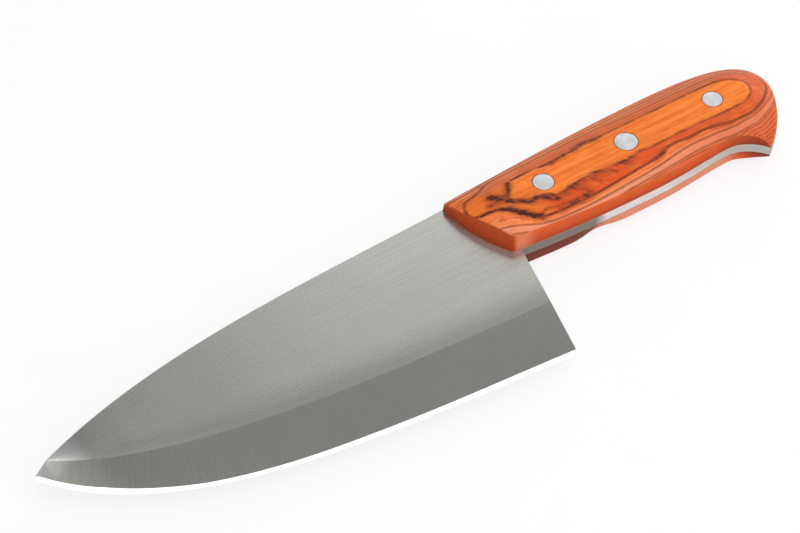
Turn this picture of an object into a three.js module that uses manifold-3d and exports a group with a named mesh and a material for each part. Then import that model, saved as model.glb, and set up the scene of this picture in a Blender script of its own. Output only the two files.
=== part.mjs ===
// A butcher's knife lying on its right side: a full-tang blade between two laminated wood scales, which are
// bedded in adhesive and held by three two-piece cutler's rivets. Millimetres, +Z up.
// The drawing's x runs from the heel to the butt, its y from the edge to the spine, and its z from the middle
// of the steel to the left side. The finished knife is then centred over the surface that it lies on.
import * as THREE from "three";
import { mergeVertices } from "three/addons/utils/BufferGeometryUtils.js";
import Module from "manifold-3d";

// Blade
const STOCK = 3.5; // thickness of the steel, blade and tang alike
const BLADE_LENGTH = 188.8; // heel corner to tip
const TIP_RISE = 54.8; // tip above the heel corner
const SPINE_RISE = 80; // spine above the heel corner, where the handle starts
const HEEL_RAKE = 0.24; // lean of the blade's back end towards the butt, per mm of rise
const HEEL_ROUND = 0.7; // rounding of the heel corner
const GRIND_RISE = 24; // top of the primary bevel, up the blade's back end
const RUNOUT_LENGTH = 7.3; // the primary bevel runs out on the spine this far behind the tip
const RUNOUT_RISE = 3.5; // and this far above it
const EDGE_BEVEL = 1.8; // width of the sharpened strip
const EDGE_SHOULDER = 0.7; // thickness left where the sharpened strip starts

// Handle outline, shared by the tang, the adhesive and the scales
const HANDLE_REACH = 131.8; // heel corner to the butt
const BACK_ARCH = 3.3; // the back's crest above the spine
const CREST_INSET = 46; // the crest ahead of the butt
const HANDLE_DEPTH = 36.4; // back to belly at the waist
const BUTT_DROP = 18; // the butt's furthest point below the crest
const WAIST_INSET = 64; // the belly's lowest point ahead of the butt
const HOLLOW_INSET = 29; // the finger hollow ahead of the butt
const HOLLOW_DEPTH = 2; // the hollow above the waist
const BEAK_INSET = 17; // the beak ahead of the butt
const BEAK_DROP = 6; // the beak below the waist
const FRONT_LEAN = 8.6; // the scales' lower front corner behind the upper one
const FRONT_RISE = 3.1; // the scales' lower front corner above the waist
const FRONT_BOW = 2.4; // bow of the scales' front end towards the tip

// Scales
const SCALE_THICKNESS = 7.35; // seam to crown
const LAND_WIDTH = 13; // flat crown, which the rivets come through
const LAND_START = 23; // middle of the land's round front end behind the handle's front
const LAND_INSET = 17.3; // middle of its round rear end ahead of the butt
const FRONT_TOP_DROP = 4.1; // arris below the crown at the upper front corner
const FRONT_LOW_DROP = 1.8; // at the lower front corner
const FRONT_SWELL = 1.8; // the front end's middle above the line between its corners
const BELLY_DROP = 3.1; // at the waist
const HOLLOW_DROP = 3.5; // at the finger hollow
const BEAK_LIP = 0.8; // wood left at the beak
const BEAK_HOLD = 4; // power of the fall to that lip, so that it comes late
const BACK_DROP = 3.9; // along the butt and the back
const BELLY_DRAFT = 0.35; // lean of the belly's side wall, per mm of height
const FRONT_DRAFT = 0.42; // lean of the front end at its lower corner
const FRONT_SWELL_DRAFT = 0.15; // more lean at its middle
const BACK_DRAFT = 0.12; // lean of the butt's and back's side wall
const BELLY_FALL = 2; // power of the crown's fall from the land towards the belly
const BACK_FALL = 1.5; // towards the back
const BUTT_FALL = 1.1; // towards the butt, where it is nearly straight

// Adhesive and rivets
const BOND = 0.15; // thickness of the adhesive
const RIVET_START = 33; // front rivet behind the handle's front
const RIVET_INSET = 24.5; // rear rivet ahead of the butt
const RIVET_SHIFT = 1; // middle rivet ahead of the midpoint
const RIVET_DROP = 17.2; // rivets below the crest of the back
const FRONT_HEAD = 7.6; // head diameters, as ground flush
const MIDDLE_HEAD = 8.4;
const REAR_HEAD = 7.2;
const HEAD_DEPTH = 2;
const POST_DIAMETER = 3;
const SLEEVE_WALL = 0.9;
const RIVET_FIT = 0.1; // play around heads, sleeves and posts
const END_GAP = 0.3; // play at the ends of posts and sleeves

// Fineness of the faceted curves
const HEEL_STEPS = 2;
const GRIND_STEPS = 40;
const TIP_STEPS = 6;
const CROWN_STEPS = 5;
const ROUND_SIDES = 32;
const SHARE_LIMIT = 1e-6; // how closely a place on a curve is found

const wasm = await Module();
wasm.setup();

const point = (x, y) => new THREE.Vector2(x, y);
const raise = (p, z) => new THREE.Vector3(p.x, p.y, z);
const hump = (share) => 4 * share * (1 - share); // none at either end, one in the middle

// Even steps from one number to another, the first number itself left out
function along(from, to, steps) {
  return Array.from({ length: steps }, (_, i) => THREE.MathUtils.lerp(from, to, (i + 1) / steps));
}

// A curve between two points. The pull of each end is a share of the curve's own width and height.
function bend(start, startPull, endPull, end) {
  const span = end.clone().sub(start);
  const afterStart = startPull.multiply(span).add(start);
  const beforeEnd = endPull.multiply(span).negate().add(end);
  return new THREE.CubicBezierCurve(start, afterStart, beforeEnd, end);
}

// A closed surface gathered triangle by triangle. Rows and rings run anticlockwise seen from outside.
class Skin {
  corners = [];

  triangle(a, b, c) {
    if (a.equals(b) || b.equals(c) || c.equals(a)) return;
    this.corners.push(...a, ...b, ...c);
  }

  // Quads between two rows of equal count
  strip(first, second) {
    for (let i = 0; i + 1 < first.length; i += 1) {
      this.triangle(first[i], first[i + 1], second[i + 1]);
      this.triangle(first[i], second[i + 1], second[i]);
    }
  }

  // The same all the way round two rings
  band(lower, upper) {
    this.strip([...lower, lower[0]], [...upper, upper[0]]);
  }

  // A flat face over an anticlockwise ring, looking up or down
  face(ring, up) {
    for (const [a, b, c] of THREE.ShapeUtils.triangulateShape(ring, [])) {
      if (up) this.triangle(ring[a], ring[b], ring[c]);
      else this.triangle(ring[a], ring[c], ring[b]);
    }
  }

  geometry() {
    const loose = new THREE.BufferGeometry();
    loose.setAttribute("position", new THREE.Float32BufferAttribute(this.corners, 3));
    return mergeVertices(loose);
  }
}

function solidOf(geometry) {
  const bare = geometry.clone();
  bare.deleteAttribute("normal");
  bare.deleteAttribute("uv");
  const merged = mergeVertices(bare);
  const vertProperties = new Float32Array(merged.attributes.position.array);
  const triVerts = new Uint32Array(merged.index.array);
  return new wasm.Manifold(new wasm.Mesh({ numProp: 3, vertProperties, triVerts }));
}

function geometryOf(solid) {
  const { vertProperties, triVerts } = solid.getMesh();
  const geometry = new THREE.BufferGeometry();
  geometry.setAttribute("position", new THREE.BufferAttribute(vertProperties, 3));
  geometry.setIndex(new THREE.BufferAttribute(triVerts, 1));
  return geometry;
}

function drilled(geometry, drills) {
  return geometryOf(drills.reduce((solid, drill) => solid.subtract(solidOf(drill)), solidOf(geometry)));
}

// A body turned about the z axis from [radius, height] pairs, lowest first
function turned(profile) {
  const points = profile.map(([radius, height]) => point(radius, height));
  return new THREE.LatheGeometry(points, ROUND_SIDES).rotateX(Math.PI / 2);
}

// Places in the plan
const heelLine = (rise) => point(HEEL_RAKE * rise, rise);
const backTop = SPINE_RISE + BACK_ARCH;
const waistRise = backTop - HANDLE_DEPTH;
const tip = point(-BLADE_LENGTH, TIP_RISE);
const runout = point(tip.x + RUNOUT_LENGTH, tip.y + RUNOUT_RISE);
const frontTop = point(0, SPINE_RISE);
const frontLow = point(frontTop.x + FRONT_LEAN, waistRise + FRONT_RISE);
const crest = point(HANDLE_REACH - CREST_INSET, backTop);
const butt = point(HANDLE_REACH, backTop - BUTT_DROP);
const beak = point(HANDLE_REACH - BEAK_INSET, waistRise - BEAK_DROP);
const hollow = point(HANDLE_REACH - HOLLOW_INSET, waistRise + HOLLOW_DEPTH);
const waist = point(HANDLE_REACH - WAIST_INSET, waistRise);

// Heights over the middle of the steel
const steelFace = STOCK / 2;
const seam = steelFace + BOND;
const crown = seam + SCALE_THICKNESS;
const headSeat = crown - HEAD_DEPTH;

// Rivets
const rivetRise = backTop - RIVET_DROP;
const frontRivet = point(frontTop.x + RIVET_START, rivetRise);
const rearRivet = point(HANDLE_REACH - RIVET_INSET, rivetRise);
const middleRivet = point((frontRivet.x + rearRivet.x) / 2 - RIVET_SHIFT, rivetRise);
const rivets = [
  { name: "front", at: frontRivet, head: FRONT_HEAD / 2 },
  { name: "middle", at: middleRivet, head: MIDDLE_HEAD / 2 },
  { name: "rear", at: rearRivet, head: REAR_HEAD / 2 },
];
const postRadius = POST_DIAMETER / 2;
const boreRadius = postRadius + RIVET_FIT;
const sleeveRadius = boreRadius + SLEEVE_WALL;
const shankHole = sleeveRadius + RIVET_FIT;

// Curves of the plan
const spine = bend(frontTop, point(0.333, 0.106), point(0.321, 0.968), runout);
const tipBack = new THREE.LineCurve(runout, tip);
const grindStart = heelLine(GRIND_RISE);
const grind = bend(grindStart, point(0.351, 0.102), point(0.211, 0.825), runout);
const edgeStart = point(-HEEL_ROUND, 0);
const heelRound = new THREE.QuadraticBezierCurve(heelLine(HEEL_ROUND), heelLine(0), edgeStart);
const edgeRun = bend(edgeStart, point(0.34, 0.091), point(0.148, 0.901), tip);

// The front end's pull stands out twice as far as the bow that it gives.
const frontChord = frontLow.clone().sub(frontTop);
const frontPull = point(frontChord.y, -frontChord.x).setLength(2 * FRONT_BOW);
const frontMiddle = frontTop.clone().add(frontLow).divideScalar(2);
const frontEnd = new THREE.QuadraticBezierCurve(frontTop, frontMiddle.add(frontPull), frontLow);
const bellyFront = bend(frontLow, point(0.203, 0.581), point(0.405, 0), waist);
const bellyRear = bend(waist, point(0.457, 0), point(0.286, 0), hollow);
const beakInside = bend(hollow, point(0.458, 0), point(0.067, 0.3), beak);
const buttEnd = bend(beak, point(0.441, 0.213), point(0, 0.369), butt);
const rump = bend(butt, point(0, 0.778), point(0.696, 0), crest);
const back = bend(crest, point(0.35, 0), point(0.326, 0.545), frontTop);

// The handle's outline in stretches, anticlockwise from the upper front corner, with their facet counts. Each
// goes between two corners, where the scales' arris has a height over the seam, the wall below it a draft and
// the crown above it a fall. The arris swells over the front end, and over a late stretch it keeps its height
// until near the far corner.
const corners = {
  frontTop: { height: SCALE_THICKNESS - FRONT_TOP_DROP, draft: BACK_DRAFT, fall: BACK_FALL },
  frontLow: { height: SCALE_THICKNESS - FRONT_LOW_DROP, draft: FRONT_DRAFT, fall: BELLY_FALL },
  waist: { height: SCALE_THICKNESS - BELLY_DROP, draft: BELLY_DRAFT, fall: BELLY_FALL },
  hollow: { height: SCALE_THICKNESS - HOLLOW_DROP, draft: BELLY_DRAFT, fall: BELLY_FALL },
  beak: { height: BEAK_LIP, draft: BELLY_DRAFT, fall: BUTT_FALL },
  butt: { height: SCALE_THICKNESS - BACK_DROP, draft: BACK_DRAFT, fall: BUTT_FALL },
  crest: { height: SCALE_THICKNESS - BACK_DROP, draft: BACK_DRAFT, fall: BACK_FALL },
};
const frontStretch = {
  curve: frontEnd,
  steps: 12,
  from: corners.frontTop,
  to: corners.frontLow,
  swells: true,
};
const bellyStretch = { curve: bellyFront, steps: 10, from: corners.frontLow, to: corners.waist };
const rearStretches = [
  { curve: bellyRear, steps: 8, from: corners.waist, to: corners.hollow },
  { curve: beakInside, steps: 10, from: corners.hollow, to: corners.beak, late: true },
  { curve: buttEnd, steps: 10, from: corners.beak, to: corners.butt },
  { curve: rump, steps: 16, from: corners.butt, to: corners.crest },
  { curve: back, steps: 10, from: corners.crest, to: corners.frontTop },
];

function joined(...curves) {
  const path = new THREE.CurvePath();
  curves.forEach((curve) => path.add(curve));
  return path;
}

// Sections across the ground part of the blade, from the heel to the tip. Each has the bevel's top, the
// shoulder of the sharpened strip and the edge itself. All sizes shrink together beyond the runout.
function bevelSections() {
  const top = joined(grind, tipBack);
  const edge = joined(heelRound, edgeRun);
  const roundShare = heelRound.getLength() / edge.getLength();
  const runoutShare = grind.getLength() / top.getLength();
  const runoutWidth = runout.distanceTo(edge.getPoint(runoutShare));
  const shares = [
    0,
    ...along(0, roundShare, HEEL_STEPS),
    ...along(roundShare, runoutShare, GRIND_STEPS),
    ...along(runoutShare, 1, TIP_STEPS),
  ];
  return shares.map((share) => {
    const high = share < 1 ? top.getPoint(share) : tip;
    const low = share < 1 ? edge.getPoint(share) : tip;
    const width = high.distanceTo(low);
    const taper = share > runoutShare ? width / runoutWidth : 1;
    const shoulder = width > 0 ? low.clone().lerp(high, (EDGE_BEVEL * taper) / width) : low;
    return { high, shoulder, low, taper };
  });
}

// The share of the belly's front stretch at which it passes over the blade's back end, by halving
function heelTop() {
  let before = 0;
  let after = 1;
  while (after - before > SHARE_LIMIT) {
    const middle = (before + after) / 2;
    const here = bellyFront.getPoint(middle);
    if (here.x < heelLine(here.y).x) before = middle;
    else after = middle;
  }
  return after;
}

// Points of a curve, its end included and its start left to the curve before
function traced(curve, steps, from = 0) {
  return along(from, 1, steps).map((share) => curve.getPoint(share));
}

// Blade and tang in one: a flat plate with the ground wedge along its lower side
function bladeGeometry() {
  const sections = bevelSections();
  const runoutIndex = sections.length - 1 - TIP_STEPS;
  const heelShare = heelTop();
  const freeSide = [
    bellyFront.getPoint(heelShare),
    ...traced(bellyFront, bellyStretch.steps, heelShare),
    ...rearStretches.flatMap(({ curve, steps }) => traced(curve, steps)),
    ...traced(spine, GRIND_STEPS),
  ];
  const grindSide = sections.slice(0, runoutIndex).map(({ high }) => high);
  const plate = [...freeSide, ...grindSide.toReversed()];
  const wall = [grindSide[0], ...freeSide];

  const skin = new Skin();
  skin.face(plate.map((p) => raise(p, steelFace)), true);
  skin.face(plate.map((p) => raise(p, -steelFace)), false);
  skin.strip(wall.map((p) => raise(p, -steelFace)), wall.map((p) => raise(p, steelFace)));

  const highLeft = sections.map(({ high, taper }) => raise(high, steelFace * taper));
  const highRight = sections.map(({ high, taper }) => raise(high, -steelFace * taper));
  const shoulderLeft = sections.map(({ shoulder, taper }) => raise(shoulder, (EDGE_SHOULDER / 2) * taper));
  const shoulderRight = sections.map(({ shoulder, taper }) => raise(shoulder, (-EDGE_SHOULDER / 2) * taper));
  const apex = sections.map(({ low }) => raise(low, 0));
  skin.strip(highLeft, shoulderLeft);
  skin.strip(shoulderLeft, apex);
  skin.strip(apex, shoulderRight);
  skin.strip(shoulderRight, highRight);
  skin.strip(highRight.slice(runoutIndex), highLeft.slice(runoutIndex));
  const heelEnd = [highLeft[0], shoulderLeft[0], apex[0], shoulderRight[0], highRight[0]];
  heelEnd.slice(2).forEach((corner, i) => skin.triangle(heelEnd[0], heelEnd[i + 1], corner));

  const holes = rivets.map(({ at }) =>
    turned([
      [0, -STOCK],
      [shankHole, -STOCK],
      [shankHole, STOCK],
      [0, STOCK],
    ]).translate(at.x, at.y, 0),
  );
  return drilled(skin.geometry(), holes);
}

// The rim of a scale: points on the seam, with the arris's height, the wall's draft and the crown's fall
function handleRim() {
  const stretches = [frontStretch, bellyStretch, ...rearStretches];
  return stretches.flatMap(({ curve, steps, from, to, swells, late }) =>
    along(0, 1, steps).map((share) => {
      const turn = late ? share ** BEAK_HOLD : share;
      const swell = swells ? hump(share) : 0;
      return {
        at: curve.getPoint(share),
        height: THREE.MathUtils.lerp(from.height, to.height, turn) + FRONT_SWELL * swell,
        draft: THREE.MathUtils.lerp(from.draft, to.draft, turn) + FRONT_SWELL_DRAFT * swell,
        fall: THREE.MathUtils.lerp(from.fall, to.fall, turn),
      };
    }),
  );
}

// The nearest point of the land, a flat strip with round ends along the line of the rivets
function landUnder(rimPoint) {
  const start = frontTop.x + LAND_START;
  const end = HANDLE_REACH - LAND_INSET;
  const middle = point(THREE.MathUtils.clamp(rimPoint.x, start, end), rivetRise);
  const outward = rimPoint.clone().sub(middle).setLength(LAND_WIDTH / 2);
  return middle.add(outward);
}

// Rings from the seam up the side wall to the arris, then over the crown to the land
function scaleGeometry() {
  const rim = handleRim().map((corner) => ({ ...corner, land: landUnder(corner.at) }));
  const arris = rim.map(({ at, height, draft, land }) => {
    const inward = land.clone().sub(at).setLength(draft * height);
    return at.clone().add(inward);
  });
  const rings = [rim.map(({ at }) => raise(at, seam))];
  for (let step = 0; step <= CROWN_STEPS; step += 1) {
    const share = step / CROWN_STEPS;
    const ring = rim.map(({ height, fall, land }, i) => {
      const drop = (SCALE_THICKNESS - height) * (1 - share) ** fall;
      return raise(arris[i].clone().lerp(land, share), crown - drop);
    });
    rings.push(ring);
  }
  const skin = new Skin();
  skin.face(rings[0], false);
  rings.slice(1).forEach((ring, i) => skin.band(rings[i], ring));
  skin.face(rings.at(-1), true);

  const holes = rivets.map(({ at, head }) =>
    turned([
      [0, 0],
      [shankHole, 0],
      [shankHole, headSeat],
      [head + RIVET_FIT, headSeat],
      [head + RIVET_FIT, crown + HEAD_DEPTH],
      [0, crown + HEAD_DEPTH],
    ]).translate(at.x, at.y, 0),
  );
  return drilled(skin.geometry(), holes);
}

// The adhesive squeezed out to the handle's outline
function adhesiveGeometry() {
  const outline = handleRim().map(({ at }) => at);
  const lower = outline.map((p) => raise(p, steelFace));
  const upper = outline.map((p) => raise(p, seam));
  const skin = new Skin();
  skin.face(lower, false);
  skin.band(lower, upper);
  skin.face(upper, true);
  const holes = rivets.map(({ at }) =>
    turned([
      [0, 0],
      [shankHole, 0],
      [shankHole, crown],
      [0, crown],
    ]).translate(at.x, at.y, 0),
  );
  return drilled(skin.geometry(), holes);
}

// The rivet's solid half, from the left
function postGeometry(head) {
  return turned([
    [0, END_GAP - headSeat],
    [postRadius, END_GAP - headSeat],
    [postRadius, headSeat],
    [head, headSeat],
    [head, crown],
    [0, crown],
  ]);
}

// Its tubular half, from the right, in which the post is driven
function sleeveGeometry(head) {
  return turned([
    [0, -crown],
    [head, -crown],
    [head, -headSeat],
    [sleeveRadius, -headSeat],
    [sleeveRadius, headSeat - END_GAP],
    [boreRadius, headSeat - END_GAP],
    [boreRadius, -headSeat],
    [0, -headSeat],
  ]);
}

const steel = new THREE.MeshStandardMaterial({ color: 0xa6a6a4, roughness: 0.38, metalness: 1 });
const wood = new THREE.MeshStandardMaterial({ color: 0xd2692f, roughness: 0.42, metalness: 0 });
const glue = new THREE.MeshStandardMaterial({ color: 0xd9c7a4, roughness: 0.5, metalness: 0 });
const aluminium = new THREE.MeshStandardMaterial({ color: 0xd6dadd, roughness: 0.45, metalness: 1 });

const drawing = new THREE.Group();

function place(name, geometry, material) {
  const mesh = new THREE.Mesh(geometry, material.clone());
  mesh.name = name;
  drawing.add(mesh);
  return mesh;
}

place("blade", bladeGeometry(), steel);
const scale = scaleGeometry();
place("left_scale", scale, wood);
place("right_scale", scale, wood).scale.z = -1;
const adhesive = adhesiveGeometry();
place("left_adhesive", adhesive, glue);
place("right_adhesive", adhesive, glue).scale.z = -1;
for (const { name, at, head } of rivets) {
  place(`${name}_rivet_post`, postGeometry(head), aluminium).position.set(at.x, at.y, 0);
  place(`${name}_rivet_sleeve`, sleeveGeometry(head), aluminium).position.set(at.x, at.y, 0);
}

const bounds = new THREE.Box3().setFromObject(drawing);
const centre = bounds.getCenter(new THREE.Vector3());
drawing.position.set(-centre.x, -centre.y, -bounds.min.z);

const knife = new THREE.Group();
knife.add(drawing);

export default knife;
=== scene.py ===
"""A butcher's knife on a pale studio floor: satin steel blade, laminated wood scales and flush rivets.

Shapes are worked out in millimetres in the knife's own drawing: x from the heel to the butt, y from the edge
to the spine, z from the middle of the steel to the left side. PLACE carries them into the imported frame.
"""

import math

import bmesh
import bpy
import numpy as np
from mathutils import Matrix
from mathutils.geometry import delaunay_2d_cdt
from numpy.linalg import norm


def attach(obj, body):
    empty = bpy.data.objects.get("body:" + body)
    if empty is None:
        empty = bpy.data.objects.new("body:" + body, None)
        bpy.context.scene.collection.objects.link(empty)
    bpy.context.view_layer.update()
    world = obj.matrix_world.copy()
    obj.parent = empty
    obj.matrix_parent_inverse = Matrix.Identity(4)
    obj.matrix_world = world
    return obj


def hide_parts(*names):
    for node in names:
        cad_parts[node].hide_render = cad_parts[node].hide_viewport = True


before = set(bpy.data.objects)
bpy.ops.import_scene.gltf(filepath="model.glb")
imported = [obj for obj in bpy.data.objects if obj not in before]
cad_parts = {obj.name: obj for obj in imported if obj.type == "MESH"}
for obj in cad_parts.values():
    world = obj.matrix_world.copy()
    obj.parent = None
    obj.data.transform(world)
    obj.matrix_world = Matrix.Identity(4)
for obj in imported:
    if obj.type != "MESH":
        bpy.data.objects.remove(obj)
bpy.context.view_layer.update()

# Blade, in millimetres
STOCK = 3.5
BLADE_LENGTH = 188.8
TIP_RISE = 54.8
SPINE_RISE = 80.0
HEEL_RAKE = 0.24
GRIND_RISE = 24.0
RUNOUT_LENGTH = 7.3
RUNOUT_RISE = 3.5
ROLL_REACH = 15.0  # the flat begins to roll over this far above the grind line
ROLL_ROOM = 0.7  # or this share of the way from there to the spine, if that is less
ROLL_SHARE = 0.8  # share of the bevel's slope that the roll has reached at the line

# Honed strip along the edge, from heel to tip: share of the way, width, and slope of a side in degrees
EDGE_STRIP = np.array((
    (0.0, 1.7, 12.5), (0.4, 1.7, 12.0), (0.55, 1.4, 10.7), (0.7, 1.4, 9.8),
    (0.78, 2.0, 9.3), (0.87, 2.5, 9.2), (0.95, 2.0, 9.3), (1.0, 1.7, 10.0),
))
STRIP_FADE = 6  # power by which the strip runs out at the tip
STRIP_SLANT = 0.6  # the least sine between a section and the edge that the strip's width allows for
BEVEL_LEAST = 0.2  # share of each section that stays bevel

# Handle outline
HANDLE_REACH = 131.8
BACK_ARCH = 3.3
CREST_INSET = 46.0
HANDLE_DEPTH = 36.4
BUTT_DROP = 18.0
WAIST_INSET = 64.0
HOLLOW_INSET = 29.0
HOLLOW_DEPTH = 2.0
BEAK_INSET = 17.0
BEAK_DROP = 6.0
FRONT_LEAN = 8.6
FRONT_RISE = 3.1
FRONT_BOW = 2.4

# Sides of a scale at its corners: arris below the crown, draft of the wall, power of the crown's fall
SCALE_THICKNESS = 7.35
FRONT_TOP_SIDE = np.array((4.1, 0.12, 1.5))
FRONT_LOW_SIDE = np.array((1.8, 0.42, 2.0))
WAIST_SIDE = np.array((3.1, 0.35, 2.0))
HOLLOW_SIDE = np.array((3.5, 0.35, 2.0))
BEAK_SIDE = np.array((6.55, 0.35, 1.1))
BUTT_SIDE = np.array((3.9, 0.12, 1.1))
CREST_SIDE = np.array((3.9, 0.12, 1.5))
FRONT_SWELL = np.array((-1.8, 0.15, 0.0))  # added to the sides in the middle of the front end
BEAK_HOLD = 4  # power by which the height holds inside the beak
BEAK_BLEND = 3.5  # the crown is rounded over the beak's corner within about this reach along the rim
ARRIS_ROUND = 0.55
ARRIS_SHARE = 0.35  # the round takes no more than this share of the wall's height
CROWN_BLEND = 0.3  # share of the crown's way, at either end, over which the blend fades
LAND_RADIUS = 6.5
LAND_START = 23.0
LAND_INSET = 17.3

# The right scale's belly wall stands straighter, apart from one spot that was sanded in by hand
STRAIGHT_DRAFT = 0.08
STRAIGHT_IN = 7.0  # the straight stretch comes in over this length behind the front
STRAIGHT_OUT = 6.0  # and goes out over this length before the beak
PINCH_AT = 45.0
PINCH_REACH = 6.5
PINCH_DRAFT = 0.36

# Adhesive and rivets
BOND = 0.15
RIVET_START = 33.0
RIVET_INSET = 24.5
RIVET_SHIFT = 1.0
RIVET_DROP = 17.2
HEAD_RADII = {"front": 3.8, "middle": 4.2, "rear": 3.6}
HEAD_DEPTH = 2.0
HEAD_EASE = 0.12
POST_RADIUS = 1.5
SLEEVE_WALL = 0.9
RIVET_FIT = 0.1
END_GAP = 0.3

# Fineness of the surfaces
LINE_POINTS = 400
SPINE_POINTS = 160
EDGE_SAMPLES = 1200
BEVEL_SECTIONS = 240
RUNOUT_SECTIONS = 12
ROLL_ROWS = 12
BEVEL_ROWS = 6
RIM_SPACING = 0.6
RIM_SAMPLES = 200
WALL_ROWS = 7
ARRIS_ROWS = 6
CROWN_RINGS = 28
DRAWN_STEPS = 4  # from each point of a drawn line to the next
ROUND_SIDES = 96
EASE_ROWS = 5
CREASE = math.radians(32)  # faces that turn by more than this meet in a sharp line
INSIDE = 1  # what the triangulation keeps: the faces within the loops
EPSILON = 1e-7  # distance at which the triangulation merges points
MERGE_DECIMALS = 4  # points of sheets that agree to this many decimals are one
ROUNDING = 0.001  # a triangulated point this near to one of a loop is that point, rounded
TINY = 1e-6  # keeps a divisor off zero

# Camera: its tilt and roll and the knife's turn on the table in degrees, its aim and reach in millimetres
CAMERA_TILT = 46.5
CAMERA_ROLL = 3.5
KNIFE_TURN = 38.091
CAMERA_AIM = np.array((-27.3657, 67.3158, 0.0))
CAMERA_REACH = 2782.1
CAMERA_LENS, CAMERA_SENSOR = 360, 36
CAMERA_SIGHT = 100  # metres

steel_face = STOCK / 2
seam = steel_face + BOND
crown = seam + SCALE_THICKNESS
head_seat = crown - HEAD_DEPTH
bore_radius = POST_RADIUS + RIVET_FIT
sleeve_radius = bore_radius + SLEEVE_WALL
shank_hole = sleeve_radius + RIVET_FIT
back_top = SPINE_RISE + BACK_ARCH
waist_rise = back_top - HANDLE_DEPTH
rivet_rise = back_top - RIVET_DROP
land_end = HANDLE_REACH - LAND_INSET
PLACE = np.array(((BLADE_LENGTH - HANDLE_REACH) / 2, -back_top / 2, crown))
METRE = 1000  # in millimetres

# Places in the plan
tip = np.array((-BLADE_LENGTH, TIP_RISE))
runout = tip + (RUNOUT_LENGTH, RUNOUT_RISE)
front_top = np.array((0.0, SPINE_RISE))
front_low = np.array((FRONT_LEAN, waist_rise + FRONT_RISE))
waist = np.array((HANDLE_REACH - WAIST_INSET, waist_rise))
hollow = np.array((HANDLE_REACH - HOLLOW_INSET, waist_rise + HOLLOW_DEPTH))
beak = np.array((HANDLE_REACH - BEAK_INSET, waist_rise - BEAK_DROP))
butt = np.array((HANDLE_REACH, back_top - BUTT_DROP))
crest = np.array((HANDLE_REACH - CREST_INSET, back_top))
rear_x = HANDLE_REACH - RIVET_INSET
rivets = {
    "front": np.array((RIVET_START, rivet_rise)),
    "middle": np.array(((RIVET_START + rear_x) / 2 - RIVET_SHIFT, rivet_rise)),
    "rear": np.array((rear_x, rivet_rise)),
}


# Curves

def bend(start, start_pull, end_pull, end, share):
    """Cubic curve between two points. The pull of each end is a share of the curve's own width and height."""
    span = end - start
    after, before = start + span * start_pull, end - span * end_pull
    s = share[:, None]
    return (1 - s) ** 3 * start + 3 * s * (1 - s) ** 2 * after + 3 * s**2 * (1 - s) * before + s**3 * end


def arc(start, pull, end, share):
    """Quadratic curve from start to end, drawn towards the pull point."""
    s = share[:, None]
    return (1 - s) ** 2 * start + 2 * s * (1 - s) * pull + s**2 * end


def travelled(points):
    """Distance along a line of points, from its first one."""
    return np.concatenate(([0.0], np.cumsum(norm(np.diff(points, axis=0), axis=1))))


def at_share(points, share):
    """Points of a line at shares of its whole length."""
    run = travelled(points)
    return np.stack([np.interp(share * run[-1], run, points[:, axis]) for axis in (0, 1)], 1)


def unit(vectors):
    """Vectors brought to a length of one; a vector of no length stays as it is."""
    size = norm(vectors, axis=-1, keepdims=True)
    return vectors / np.where(size > 0, size, 1)


def raised(plan, level):
    """Plan points at a level over the middle of the steel."""
    return np.concatenate((plan, np.broadcast_to(level, plan.shape[:-1])[..., None]), -1)


def smooth(value, start, end):
    """Rises from 0 at start to 1 at end as a cubic, level at both."""
    s = np.clip((value - start) / (end - start), 0, 1)
    return s * s * (3 - 2 * s)


def bell(gap, reach):
    """Falls off with the distance as a bell: e to minus the square of their ratio."""
    return np.exp(-((gap / reach) ** 2))


def heel_line(rise):
    """Point of the blade's back end at a height over the edge."""
    return np.array((HEEL_RAKE * rise, rise))


def front_end(share):
    """Bowed front of the scales: a quadratic whose middle stands out from the chord by the bow."""
    chord = front_low - front_top
    pull = (front_top + front_low) / 2 + unit(np.array((chord[1], -chord[0]))) * 2 * FRONT_BOW
    return arc(front_top, pull, front_low, share)


# Stretches of the handle's outline from the upper front corner, with the sides that each one runs between
STRETCHES = {
    "front_end": (front_end, FRONT_TOP_SIDE, FRONT_LOW_SIDE),
    "belly_front": (
        lambda s: bend(front_low, (0.203, 0.581), (0.405, 0), waist, s), FRONT_LOW_SIDE, WAIST_SIDE,
    ),
    "belly_rear": (lambda s: bend(waist, (0.457, 0), (0.286, 0), hollow, s), WAIST_SIDE, HOLLOW_SIDE),
    "beak_inside": (lambda s: bend(hollow, (0.458, 0), (0.067, 0.3), beak, s), HOLLOW_SIDE, BEAK_SIDE),
    "butt_end": (lambda s: bend(beak, (0.441, 0.213), (0, 0.369), butt, s), BEAK_SIDE, BUTT_SIDE),
    "rump": (lambda s: bend(butt, (0, 0.778), (0.696, 0), crest, s), BUTT_SIDE, CREST_SIDE),
    "back": (lambda s: bend(crest, (0.35, 0), (0.326, 0.545), front_top, s), CREST_SIDE, FRONT_TOP_SIDE),
}


def handle_rim():
    """Outline of the handle in the plan, and the sides at each of its points.

    The sides turn evenly along a stretch. The front end swells by four times share times rest, and inside the
    beak the turn is the share to a power, which holds the height until near the end.
    """
    points, sides = [], []
    for name, (curve, start, end) in STRETCHES.items():
        steps = math.ceil(travelled(curve(np.linspace(0, 1, RIM_SAMPLES)))[-1] / RIM_SPACING)
        share = (np.arange(steps) + 1) / steps
        turn = share**BEAK_HOLD if name == "beak_inside" else share
        hump = 4 * share * (1 - share) * (name == "front_end")
        points.append(curve(share))
        sides.append(start + turn[:, None] * (end - start) + hump[:, None] * FRONT_SWELL)
    return np.vstack(points), np.vstack(sides)


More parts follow.
